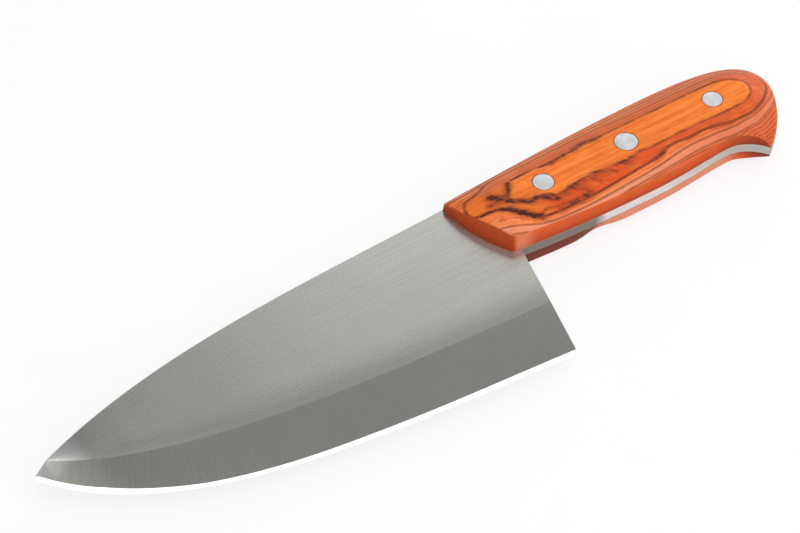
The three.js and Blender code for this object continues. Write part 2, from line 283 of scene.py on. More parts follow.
rim, rim_sides = handle_rim()
fine = np.linspace(0, 1, LINE_POINTS)
spine = bend(front_top, (0.333, 0.106), (0.321, 0.968), runout, np.linspace(0, 1, SPINE_POINTS))
grind = bend(heel_line(GRIND_RISE), (0.351, 0.102), (0.211, 0.825), runout, fine)
edge = bend(heel_line(0), (0.34, 0.091), (0.148, 0.901), tip, fine)


# Surfaces

def sewn(sheets):
    """One skin from sheets: equal points become one, and triangles that have shrunk to a line are dropped.

    A sheet is a grid of points, or loose points and their triangles, with a finish number at the end. Columns
    after x, y and z go with their points.
    """
    points, triangles, finishes, count = [], [], [], 0
    for *shape, finish in sheets:
        if len(shape) == 1:
            rows, columns = shape[0].shape[:2]
            corner = (np.arange(rows - 1)[:, None] * columns + np.arange(columns - 1)).ravel()
            near = np.stack((corner, corner + 1, corner + columns + 1), 1)
            far = np.stack((corner, corner + columns + 1, corner + columns), 1)
            shape = shape[0].reshape(rows * columns, -1), np.vstack((near, far))
        points.append(shape[0])
        triangles.append(shape[1] + count)
        finishes.append(np.full(len(shape[1]), finish))
        count += len(shape[0])
    points, triangles, finishes = np.vstack(points), np.vstack(triangles), np.concatenate(finishes)
    _, first, same = np.unique(
        np.round(points[:, :3], MERGE_DECIMALS), axis=0, return_index=True, return_inverse=True,
    )
    triangles = same.ravel()[triangles]
    a, b, c = triangles.T
    kept = (a != b) & (b != c) & (c != a)
    return points[first], triangles[kept], finishes[kept]


def circle(at, radius, sides=ROUND_SIDES):
    """Points of a circle in the plan."""
    turn = np.arange(sides) * (2 * np.pi / sides)
    return at + radius * np.stack((np.cos(turn), np.sin(turn)), 1)


def turned(at, profile):
    """Surface of revolution about an upright line: each radius and level of the profile carried round it."""
    rings = [raised(circle(at, radius), level) for radius, level in profile]
    return np.stack([np.vstack((ring, ring[:1])) for ring in rings])


def pierced(ring, radii, spacing=0.0):
    """Triangles of the plan inside a ring, less the rivet holes of the given radii.

    With a spacing, inner points on a square grid make the triangles even. The loops' points keep their exact
    places, which triangulating would round, so that the walls meet them.
    """
    loops = [ring, *(circle(at, radius) for at, radius in zip(rivets.values(), radii))]
    plan = exact = np.vstack(loops)
    starts = np.cumsum([0, *(len(loop) for loop in loops)])
    runs = [np.arange(start, end) for start, end in zip(starts, starts[1:])]
    links = np.vstack([np.stack((run, np.roll(run, -1)), 1) for run in runs])
    if spacing:
        along, across = (
            np.arange(low + spacing / 2, high, spacing) for low, high in zip(ring.min(0), ring.max(0))
        )
        grid = np.stack(np.meshgrid(along, across), -1).reshape(-1, 2)
        gap = norm(grid[:, None] - plan, axis=2).min(1)
        plan = np.vstack((plan, grid[gap > spacing / 2]))
    found, _, faces, *_ = delaunay_2d_cdt(plan.tolist(), links.tolist(), [], INSIDE, EPSILON)
    plan, faces = np.array(found), np.array(faces)
    gap = norm(plan[:, None] - exact, axis=2)
    plan = np.where(gap.min(1)[:, None] < ROUNDING, exact[gap.argmin(1)], plan)
    middle = plan[faces].mean(1)
    away = [norm(middle - at, axis=1) / radius for at, radius in zip(rivets.values(), radii)]
    return plan, faces[np.min(away, 0) > np.cos(np.pi / ROUND_SIDES)]


def blade_sheets():
    """Blade and tang in one piece.

    Sections at equal shares join the grind line to the edge. Each runs from the flat through a parabola, the
    roll, to the grind line, then straight down the bevel to the shoulder, then down the honed strip to the
    edge. Past the runout the bevel keeps its slope up to the back, so the steel thins with its width. The
    strip is measured square to the edge, and runs out at the tip by one less a power of the lost width.
    """
    bevel_top = np.vstack((grind, tip))
    runout_share = travelled(grind)[-1] / travelled(bevel_top)[-1]
    share = np.concatenate((
        np.linspace(0, runout_share, BEVEL_SECTIONS),
        np.linspace(runout_share, 1, RUNOUT_SECTIONS)[1:],
    ))
    top, low = at_share(bevel_top, share), at_share(edge, share)
    width = norm(top - low, axis=1)
    before_runout = np.arange(len(share)) < BEVEL_SECTIONS
    taper = np.where(before_runout, 1, width / width[BEVEL_SECTIONS - 1])
    up = unit(top - low)
    room = np.interp(top[:, 0], spine[::-1, 0], spine[::-1, 1]) - top[:, 1]
    roll = np.clip(ROLL_ROOM * room, 0, ROLL_REACH) * before_runout
    roll[BEVEL_SECTIONS - 1] = 0
    strip, slope = (np.interp(share, EDGE_STRIP[:, 0], column) for column in EDGE_STRIP[:, 1:].T)
    strip *= 1 - (1 - taper) ** STRIP_FADE
    edge_way = unit(np.gradient(low, axis=0))
    square = np.abs(edge_way[:, 0] * up[:, 1] - edge_way[:, 1] * up[:, 0])
    bevel_width = np.maximum(width - strip / np.maximum(square, STRIP_SLANT), BEVEL_LEAST * width)
    shoulder_half = (width - bevel_width) * square * np.tan(np.radians(slope))
    steep = (steel_face - shoulder_half[BEVEL_SECTIONS - 1]) / bevel_width[BEVEL_SECTIONS - 1]
    half_stock = np.where(before_runout, steel_face, shoulder_half + steep * bevel_width)
    fall = half_stock - shoulder_half
    rolled_off = fall * ROLL_SHARE * roll / 2 / np.maximum(bevel_width + ROLL_SHARE * roll / 2, TINY)

    def row(way, level):
        return raised(top + up * way[:, None], level)

    rolled = [row(roll * (1 - s), half_stock - rolled_off * s**2) for s in np.linspace(0, 1, ROLL_ROWS)]
    shoulder = row(-bevel_width, shoulder_half)
    bevel = [rolled[-1] + (shoulder - rolled[-1]) * s for s in np.linspace(0, 1, BEVEL_ROWS)]
    left = [np.stack(rolled), np.stack(bevel), np.stack((shoulder, row(-width, 0 * width)))]

    belly = rim[np.argmin(norm(rim - front_low, axis=1)):]
    lead = belly @ (1, -HEEL_RAKE)
    crossing = np.argmax(lead > 0)
    ratio = lead[crossing - 1] / (lead[crossing - 1] - lead[crossing])
    heel_top = belly[crossing - 1] + (belly[crossing] - belly[crossing - 1]) * ratio
    tang = np.vstack((heel_top, belly[crossing:]))
    outline = np.vstack((rolled[0][:1, :2], tang, spine[1:]))
    plate = np.vstack((outline, rolled[0][BEVEL_SECTIONS - 2:0:-1, :2]))
    plan, faces = pierced(plate, [shank_hole] * 3)

    mirror = np.array((1, 1, -1))
    heel, strip_end = np.vstack([grid[:, 0] for grid in left[:2]]), left[2][:, 0]
    point_back = rolled[-1][BEVEL_SECTIONS - 1:]
    heel_back, back = raised(outline[:2], steel_face), raised(outline[len(tang):], steel_face)
    walls = [np.stack((line, line * mirror)) for line in (heel, point_back, heel_back, back)]
    tang_edge = np.stack((raised(tang, steel_face), raised(tang, -steel_face)))
    strip_wall = np.stack((strip_end, strip_end * mirror))
    walls += [turned(at, ((shank_hole, steel_face), (shank_hole, -steel_face))) for at in rivets.values()]
    sheets = [(grid * side, finish) for side in (1, mirror) for finish, grid in enumerate(left)]
    sheets += [(raised(plan, level), faces, 0) for level in (steel_face, -steel_face)]
    return sheets + [(wall, 3) for wall in walls] + [(tang_edge, 4), (strip_wall, 2)]


def ground_across(points):
    """The bevel's pattern, from the nearest point of the edge.

    It is the way along the edge to that point, the distance from it, and the direction of the edge there.
    """
    samples = at_share(edge, np.linspace(0, 1, EDGE_SAMPLES))
    gap = norm(points[:, None, :2] - samples, axis=2)
    nearest = gap.argmin(1)
    pattern = np.column_stack((travelled(samples)[nearest], gap.min(1), points[:, 2]))
    return {"pattern": pattern, "edge_way": raised(unit(np.gradient(samples, axis=0))[nearest], 0.0)}


def veneers(points):
    """The wood's own columns as named patterns."""
    return {"places": points[:, 3:6], "marks": points[:, 6:9], "zones": points[:, 9:]}


def straightened(sides):
    """Sides of the right scale: along the belly the draft is small, with a bump in it at the pinch."""
    x, y = rim.T
    straight = STRAIGHT_DRAFT + PINCH_DRAFT * bell(x - PINCH_AT, PINCH_REACH)
    share = smooth(x, FRONT_LEAN, FRONT_LEAN + STRAIGHT_IN) * (1 - smooth(x, beak[0] - STRAIGHT_OUT, beak[0]))
    share *= y < front_low[1]
    return np.column_stack((sides[:, 0], sides[:, 1] + (straight - sides[:, 1]) * share, sides[:, 2]))


def blended(row, share):
    """A row round the crown with the beak's corner rounded off.

    The row is averaged along the rim with bell-shaped weights, and the average takes over by the share and by
    another bell, three times as wide, about the beak.
    """
    way = np.arange(len(rim)) * RIM_SPACING
    apart = np.minimum(way, way[-1] + RIM_SPACING - way)
    weights = np.exp(-0.5 * (apart / BEAK_BLEND) ** 2)
    even = np.fft.ifft(np.fft.fft(row, axis=0) * np.fft.fft(weights / weights.sum())[:, None], axis=0).real
    near = bell(way - way[norm(rim - beak, axis=1).argmin()], 3 * BEAK_BLEND)
    return row + (even - row) * (share * near)[:, None]


def scale_sheets(sides, streaks, stain_and_shade):
    """One scale, on the left side of the steel.

    The wall leans in from the rim to the arris, towards the nearest point of the land, by draft times height.
    From the arris the crown rises to the land: its depth is the drop times the rest of the way to the power
    of the fall. A small parabola rounds the arris. The veneers' pattern is in nine further columns.
    """
    drop, draft, power = sides.T
    height = SCALE_THICKNESS - drop
    middle = np.column_stack((np.clip(rim[:, 0], LAND_START, land_end), np.full(len(rim), rivet_rise)))
    land = middle + LAND_RADIUS * unit(rim - middle)
    inward = unit(land - rim)
    arris = rim + inward * (draft * height)[:, None]
    reach = norm(land - arris, axis=1)

    def crown_row(way):
        rest = (1 - way / reach) ** power
        return raised(arris + inward * way[:, None], crown - drop * rest)

    bottom, top = raised(rim, seam), raised(arris, seam + height)
    eased = np.minimum(ARRIS_ROUND, ARRIS_SHARE * height)
    below, above = top + (bottom - top) * (eased / height)[:, None], crown_row(eased)
    rise, turn = np.linspace(0, 1, WALL_ROWS), np.linspace(0, 1, ARRIS_ROWS)[1:]
    wall = [np.column_stack((bottom + (below - bottom) * s, edge_on(rim, s, stain_and_shade))) for s in rise]
    rows = [(1 - s) ** 2 * below + 2 * s * (1 - s) * top + s**2 * above for s in turn]
    for s in np.linspace(0, 1, CROWN_RINGS)[1:]:
        share = smooth(s, 0, CROWN_BLEND) * (1 - smooth(s, 1 - CROWN_BLEND, 1))
        rows.append(blended(crown_row(eased + (reach - eased) * s), share))
    skin = np.stack(wall + [np.column_stack((row, veneer_figure(row, streaks))) for row in rows])
    heads = [radius + RIVET_FIT for radius in HEAD_RADII.values()]
    face, face_triangles = pierced(land, heads, RIM_SPACING)
    back, back_triangles = pierced(rim, [shank_hole] * 3)
    holes = [
        turned(at, ((head, crown), (head, head_seat), (shank_hole, head_seat), (shank_hole, seam)))
        for at, head in zip(rivets.values(), heads)
    ]
    dim = [edge_on(hole.reshape(-1, 3), 1.0, HOLE_STAIN).reshape(*hole.shape[:2], -1) for hole in holes]
    return [
        (np.concatenate((skin, skin[:, :1]), 1), 0),
        (np.column_stack((raised(face, crown), veneer_figure(face, streaks))), face_triangles, 0),
        (np.column_stack((raised(back, seam), edge_on(back, 0))), back_triangles, 0),
        *((np.concatenate(pair, -1), 0) for pair in zip(holes, dim)),
    ]


# Lines that sanding the crown has drawn round the pile of veneers, from the amber core outwards
CORE_LINE = (
    (18.2, 66.2), (19.9, 68.3), (21.1, 71.2), (23.2, 72.7), (26.5, 73.1), (36, 72.7), (41.5, 72),
    (47, 72.7), (60, 73.1), (75, 73.1), (90, 73), (105, 72.9), (113, 72.5), (118.2, 70.8), (121.5, 68),
    (122.6, 65.2), (121.4, 62.2), (118.2, 59.8), (113, 58.8), (104, 58.7), (95, 59.2), (85, 59.2),
    (75, 59.2), (70, 59.6), (61.5, 58.7), (57, 59.7), (46, 60), (39, 58.9), (33, 58.9), (29.5, 61),
    (25, 62.1), (21.5, 63.6),
)
SECOND_LINE = (
    (2.6, 70), (4.5, 73.9), (8.2, 74.6), (12.4, 75.8), (16, 77.4), (22, 78), (36, 77.9), (52, 77.8),
    (66, 77.5), (78, 76.7), (92, 76.6), (108, 75.9), (116, 75.2), (123, 73.2), (127.5, 70.3), (129.6, 66.5),
    (128.8, 62.3), (124, 57.9), (119.7, 55.8), (115.5, 54.4), (112, 53.9), (107, 54.1), (101, 55.4),
    (95, 56), (89.7, 55.7), (84, 56.2), (79, 55.8), (76.5, 54.4), (65, 53.5), (48, 52.3), (37, 52.2),
    (29, 52.5), (24, 53.2), (21.1, 54.6), (18.6, 57.5), (16.5, 60.4), (12.4, 63.7), (6.1, 65.2),
    (3.2, 66.6),
)
THIRD_LINE = (
    (-3, 76.8), (10, 78.2), (20, 79.7), (36, 79.8), (52, 79.7), (66, 79.4), (78, 78.8), (92, 78.5),
    (108, 78), (118, 76.6), (127, 73), (132, 67), (131.5, 62), (128, 58.7), (123.8, 56.2), (119.7, 54.4),
    (115.5, 53), (111.5, 52.4), (107, 52.4), (100, 53), (89, 53.1), (82, 52.5), (74, 51.4), (66, 50.8),
    (54, 50.2), (41, 49.8), (30, 50.2), (24, 50.9), (20.7, 51.7), (14.5, 54.1), (8.2, 56.6), (-3, 60),
)
FOURTH_LINE = (
    (-4, 78.6), (10, 80), (20, 81.2), (36, 81.4), (52, 81.5), (66, 81.3), (78, 80.7), (92, 80.4),
    (108, 79.8), (119, 78), (129, 73.5), (134, 67), (133, 60.5), (129.5, 57.6), (125.9, 55.1),
    (121.8, 52.9), (116.8, 50.7), (112, 49.7), (107, 49.9), (101, 50.6), (90.5, 50.6), (78, 49.7),
    (65.5, 48.9), (50, 48.2), (36, 47.9), (22, 49.4), (10, 52.5), (-4, 56),
)
BONDS = ((0.8, 0.55), (0.62, 0.42), (0.55, 0.42))  # strength and half width of the bond at the last three
VENEER_STEP = 1.2  # spacing of the lines outside the fourth
WOOD_COLUMNS = 9  # of the veneers' pattern, after x, y and z
WALL_MARK = 20.0  # the pattern's depth on the walls starts here
WALL_VENEERS = 6  # about twice as coarse as real ones, to show
GRAIN_SWAY = 0.7  # share of a veneer by which the grain moves the lines between veneers
GROWTH_STEP = 1.8  # spacing of the growth lines, which is uneven
GROWTH_START = 0.5  # they are counted from this far outside the land
GROWTH_TURN = 2.5  # and follow the core's line from this far before the land's end
DUST, DUST_REACH = 0.6, 0.35  # strength and half width of the sanding dust round a rivet
FEATHER_REACH = 3.4  # length of the dark feathers
HOLE_STAIN = 0.9

# Dark streaks in the face of the left scale: half width, strength, and the line they follow
STREAKS = (
    (2.34, 1.0, ((13.0, 69.8), (15.4, 67.4))),
    (1.43, 0.9, ((15.4, 67.4), (18.8, 68.0), (20.4, 70.2), (21.8, 72.0))),
    (1.43, 0.75, ((10.6, 67.2), (13.5, 66.6))),
    (0.86, 0.9, ((5.6, 65.2), (9.0, 64.8), (12.4, 63.7))),
    (1.17, 0.95, ((12.4, 63.7), (15.7, 61.6))),
    (1.76, 1.05, ((15.7, 61.6), (17.8, 58.6), (19.8, 56.7))),
    (1.56, 1.0, ((19.8, 56.7), (21.5, 54.5), (23.5, 53.5))),
    (1.43, 0.9, ((16.8, 65.6), (20.5, 62.9), (23.5, 60.9), (26.5, 61.1), (29.9, 59.6))),
    (1.25, 0.8, ((28.6, 60.0), (31.0, 57.6), (33.0, 56.8))),
    (0.94, 0.7, ((39.6, 58.8), (41.6, 56.4), (43.4, 55.8), (45.2, 53.4))),
    (0.78, 0.65, ((48.2, 58.6), (50.4, 55.8))),
    (0.7, 0.6, ((56.0, 58.8), (57.6, 56.4))),
    (0.62, 0.6, ((22.8, 54.5), (27.0, 55.2), (30.0, 54.4), (34.5, 54.1))),
    (1.69, 0.7, ((31.5, 53.4), (38.0, 52.9), (45.0, 53.3))),
    (1.25, 0.75, ((51.0, 73.1), (55.5, 73.9), (60.5, 73.3))),
    (0.94, 0.75, ((40.5, 72.2), (47.0, 72.8))),
    (1.17, 0.65, ((72.8, 54.0), (75.6, 54.6), (78.2, 55.8))),
    (0.86, 0.5, ((88.0, 55.8), (92.2, 55.8))),
    (0.86, 0.5, ((99.0, 55.6), (106.5, 54.1))),
)


def through(points):
    """Closed smooth line through points, in a few steps from each to the next.

    They follow a cubic whose slope at each point is half the way from the point before it to the one after.
    """
    at = np.array(points, float)
    last, to, then = np.roll(at, 1, 0), np.roll(at, -1, 0), np.roll(at, -2, 0)
    s = (np.arange(DRAWN_STEPS) / DRAWN_STEPS)[:, None, None]
    turn, twist = 2 * last - 5 * at + 4 * to - then, 3 * (at - to) + then - last
    curve = at + s / 2 * (to - last + s * (turn + s * twist))
    return curve.swapaxes(0, 1).reshape(-1, 2)


def gap_to(plan, start, span):
    """Distance from the nearest of straight steps, each from its start along its span."""
    share = np.clip(((plan[:, None] - start) * span).sum(2) / (span**2).sum(1), 0, 1)
    return norm(plan[:, None] - start - share[..., None] * span, axis=2).min(1)


def off_line(plan, points):
    """Distance from a closed line through points.

    It is below 0 inside, where a ray crosses the line an odd number of times.
    """
    start = through(points)
    span = np.roll(start, -1, 0) - start
    x, y = plan[:, :1], plan[:, 1:]
    level = start[:, 1], start[:, 1] + span[:, 1]
    meets = start[:, 0] + (y - level[0]) * span[:, 0] / np.where(span[:, 1] == 0, 1, span[:, 1])
    inside = (((level[0] > y) != (level[1] > y)) & (x < meets)).sum(1) % 2 == 1
    return gap_to(plan, start, span) * np.where(inside, -1, 1)


def veneer_figure(points, streaks):
    """The face's pattern: three columns of places, three of marks and three of zones.

    Places are the distance out from the core's line, the place among the veneers, which counts the lines and
    runs between two of them as the ratio of the distances, and the way across the growth lines. Marks are the
    streaks, the bond lines with a ring of sanding dust round each rivet, which all fade as a bell with the
    distance, and the share of growth lines. Zones are where the core's line is torn, where dark feathers hang
    from it, and the amber ear at the front.
    """
    plan = points[:, :2]
    x, y = plan.T
    core, second, third, fourth = (
        off_line(plan, line) for line in (CORE_LINE, SECOND_LINE, THIRD_LINE, FOURTH_LINE)
    )
    place = np.where(core < 0, 0, core / np.maximum(core - second, TINY))
    place = np.where(second > 0, 1 + second / np.maximum(second - third, TINY), place)
    place = np.where(third > 0, 2 + third / np.maximum(third - fourth, TINY), place)
    place = np.where(fourth > 0, 3 + fourth / VENEER_STEP, place)
    across = np.abs(y - rivet_rise) - LAND_RADIUS - GROWTH_START
    way = np.where(x > land_end - GROWTH_TURN, core, across) / GROWTH_STEP

    dark = []
    for half_width, strength, line in streaks:
        line = np.array(line)
        dark.append(strength * bell(gap_to(plan, line[:-1], np.diff(line, axis=0)), half_width))
    # Bonds are fainter above the rivets, apart from the front
    clear = np.maximum(np.interp(rivet_rise - y, (0, 4), (0.55, 1)), np.interp(x, (18, 26), (1, 0)))
    bonds = [
        clear * strength * bell(gap, half_width)
        for gap, (strength, half_width) in zip((second, third, fourth), BONDS)
    ]
    for at, head in zip(rivets.values(), HEAD_RADII.values()):
        bonds.append(DUST * bell(norm(plan - at, axis=1) - head, DUST_REACH))
    # Growth lines show along the spine and, fainter, in the face veneer's rear
    rear = np.interp(x, (80, 105), (0, 0.3)) * np.interp(place, (0.85, 1.05), (1, 0.1))
    grown = np.maximum(np.interp(y, (70.5, 73), (0, 0.7)), rear) * np.interp(place, (3, 3.6), (1, 0))

    # The core's line is torn in front, most of all along the belly, where the feathers are
    front = np.interp(x, (60, 90), (1, 0.12))
    torn = front * np.interp(y, (60, 68), (1, 0.3))
    feather = front * np.exp(-np.maximum(core, 0) / FEATHER_REACH)
    feather *= np.interp(y, (59, 62), (1, 0)) * (place < 1.2)
    ear = np.interp(x, (20, 34), (1, 0)) * np.interp(place, (0.9, 1.1), (1, 0.3))
    return np.column_stack((core, place, way, np.max(dark, 0), np.max(bonds, 0), grown, torn, feather, ear))


def edge_on(plan, rise, stain_and_shade=0.0):
    """The walls' pattern: veneers counted down from the arris by the share of the rise, a stain in the rivet
    holes and painted shade and light on the walls.

    These stand in the bonds' column: above 0 the wood is darker, and below 0 it is paler.
    """
    columns = np.zeros((len(plan), WOOD_COLUMNS))
    columns[:, 1], columns[:, 4] = WALL_MARK + WALL_VENEERS * (1 - rise), stain_and_shade
    return columns


def eased_rim(head):
    """Profile of a head's rim, up to the crown: a quarter of a circle."""
    turn = np.linspace(0, 1, EASE_ROWS) * np.pi / 2
    return np.column_stack((head + HEAD_EASE * (np.cos(turn) - 1), crown + HEAD_EASE * (np.sin(turn) - 1)))


def post_sheet(at, head):
    """Solid half of a rivet: shank and head about one upright line, the head's rim eased."""
    low = END_GAP - head_seat
    shank = (0, low), (POST_RADIUS, low), (POST_RADIUS, head_seat)
    return turned(at, (*shank, (head, head_seat), *eased_rim(head), (0, crown)))


def sleeve_sheet(at, head):
    """Tubular half of a rivet, whose head is on the right side: its rim is the post's, turned over."""
    high = head_seat - END_GAP
    tube = (sleeve_radius, -head_seat), (sleeve_radius, high), (bore_radius, high), (bore_radius, -head_seat)
    rounded = eased_rim(head)[::-1] * (1, -1)
    return turned(at, ((0, -crown), *rounded, (head, -head_seat), *tube, (0, -head_seat)))


def stand(name, data):
    """A new object of the scene, at the origin."""
    made = bpy.data.objects.new(name, data)
    bpy.context.scene.collection.objects.link(made)
    return made


def make(name, sheets, finishes, pattern=None):
    """Piece that stands for the node of its name: sewn sheets, faces outward, creases and borders sharp."""
    points, triangles, finish = sewn(sheets)
    mesh = bpy.data.meshes.new(name)
    mesh.from_pydata((points[:, :3] + PLACE) / METRE, [], triangles)
    mesh.polygons.foreach_set("material_index", finish.astype(np.int32))
    skin = bmesh.new()
    skin.from_mesh(mesh)
    bmesh.ops.recalc_face_normals(skin, faces=skin.faces)
    skin.to_mesh(mesh)
    skin.free()
    mesh.shade_smooth()
    mesh.set_sharp_from_angle(angle=CREASE)
    edge_of, sharp = np.empty(len(mesh.loops), np.int32), np.empty(len(mesh.edges), bool)
    mesh.loops.foreach_get("edge_index", edge_of)
    mesh.edges.foreach_get("use_edge_sharp", sharp)
    lowest, highest = np.full(len(mesh.edges), len(finishes)), np.zeros(len(mesh.edges), int)
    np.minimum.at(lowest, edge_of, np.repeat(finish, 3))
    np.maximum.at(highest, edge_of, np.repeat(finish, 3))
    mesh.edges.foreach_set("use_edge_sharp", sharp | (lowest != highest))
    for label, vectors in (pattern(points) if pattern else {}).items():
        mesh.attributes.new(label, "FLOAT_VECTOR", "POINT").data.foreach_set("vector", vectors.ravel())
    for made in finishes:
        mesh.materials.append(made)
    piece = stand(f"{name}_piece", mesh)
    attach(piece, "root")
    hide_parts(name)


# Finishes

CLOUD_SIZE = 30.0  # patches in brushed steel, in millimetres
BRUSHED_SPREAD = 0.02  # how far roughness strays either way in brushed steel
MOTTLED_SPREAD = 0.06  # and in a mottled finish
SCRATCH_DEPTH = 0.00005  # metres
FIBRE_DEPTH = 0.0001  # metres


def linear(code):
    """An sRGB hex colour as linear red, green and blue, opaque."""
    part = np.array([int(code[k:k + 2], 16) for k in (1, 3, 5)]) / 255
    return (*np.where(part <= 0.04045, part / 12.92, ((part + 0.055) / 1.055) ** 2.4).tolist(), 1.0)


def fit(node, inputs):
    """Gives a shader node its inputs, by name or in order: values, or nodes by their first output in use."""
    for name, value in (inputs if isinstance(inputs, dict) else dict(enumerate(inputs))).items():
        if isinstance(value, bpy.types.Node):
            value = next(output for output in value.outputs if output.enabled)
        if isinstance(value, bpy.types.NodeSocket):
            node.id_data.links.new(value, node.inputs[name])
        else:
            node.inputs[name].default_value = value


def add(tree, kind, inputs=(), stops=(), **settings):
    """Adds a shader node with its settings, a ramp's stops and its inputs."""
    made = tree.nodes.new("ShaderNode" + kind)
    for name, value in settings.items():
        setattr(made, name, value)
    for count, (place, colour) in enumerate(stops):
        stop = made.color_ramp.elements[count] if count < 2 else made.color_ramp.elements.new(place)
        stop.position, stop.color = place, linear(colour)
    fit(made, inputs)
    return made


def finish_of(name, **constants):
    """A new finish with its shader's constants set; returns it, its tree, its shader and its place in mm."""
    made = bpy.data.materials.new(name)
    made.use_nodes = True
    tree, shader = made.node_tree, made.node_tree.nodes["Principled BSDF"]
    for socket, value in constants.items():
        shader.inputs[socket.replace("_", " ")].default_value = value
    place = add(tree, "TexCoord").outputs["Object"]
    mm = add(tree, "Mapping", {"Vector": place, "Scale": (METRE,) * 3, "Location": -PLACE})
    return made, tree, shader, mm


def brushed(
    name, light, dark, roughness, line_length, line_width, across_edge=False, strength=0.05, shades=(),
):
    """Steel with the scratches of a belt: noise drawn out into lines of a length and width in mm.

    The lines run along the knife, or off the edge where the piece's own pattern says so. They tint the steel,
    scatter its gloss and stand as a fine bump. Shades paint shade and highlight into the steel's colour along
    an axis of the lines' drawing, each from a start to an end, up to its most.
    """
    made, tree, shader, mm = finish_of(name, Metallic=1.0, Anisotropic=0.6)
    spread, size = add(tree, "CombineXYZ", {"Y": 1.0}), (line_length, line_width, 1)
    if across_edge:
        mm, spread = (
            add(tree, "Attribute", attribute_name=label).outputs["Vector"]
            for label in ("pattern", "edge_way")
        )
        size = (line_width, line_length, 1)
    drawn = add(tree, "Mapping", {"Vector": mm, "Scale": size}, vector_type="TEXTURE")
    lines = add(tree, "TexNoise", {"Vector": drawn, "Scale": 1.0, "Detail": 1.0})
    cloud = add(tree, "TexNoise", {"Vector": mm, "Scale": 1 / CLOUD_SIZE, "Detail": 2.0})
    both = add(tree, "Mix", {0: 0.25, 2: lines, 3: cloud})
    tint = add(tree, "ValToRGB", (both,), stops=((0.36, dark), (0.64, light)))
    for axis, start, end, most, colour in shades:
        place = add(tree, "Math", (add(tree, "SeparateXYZ", (mm,)).outputs[axis],), operation="ABSOLUTE")
        share = add(tree, "MapRange", (place, start, end, 0.0, most))
        tint = add(tree, "Mix", {0: share, 6: tint, 7: linear(colour)}, data_type="RGBA")
    dull, bright = roughness + BRUSHED_SPREAD, roughness - BRUSHED_SPREAD
    fit(shader, {
        "Base Color": tint,
        "Tangent": spread,
        "Roughness": add(tree, "MapRange", (lines, 0.3, 0.7, dull, bright)),
        "Normal": add(tree, "Bump", {"Height": lines, "Strength": strength, "Distance": SCRATCH_DEPTH}),
    })
    return made


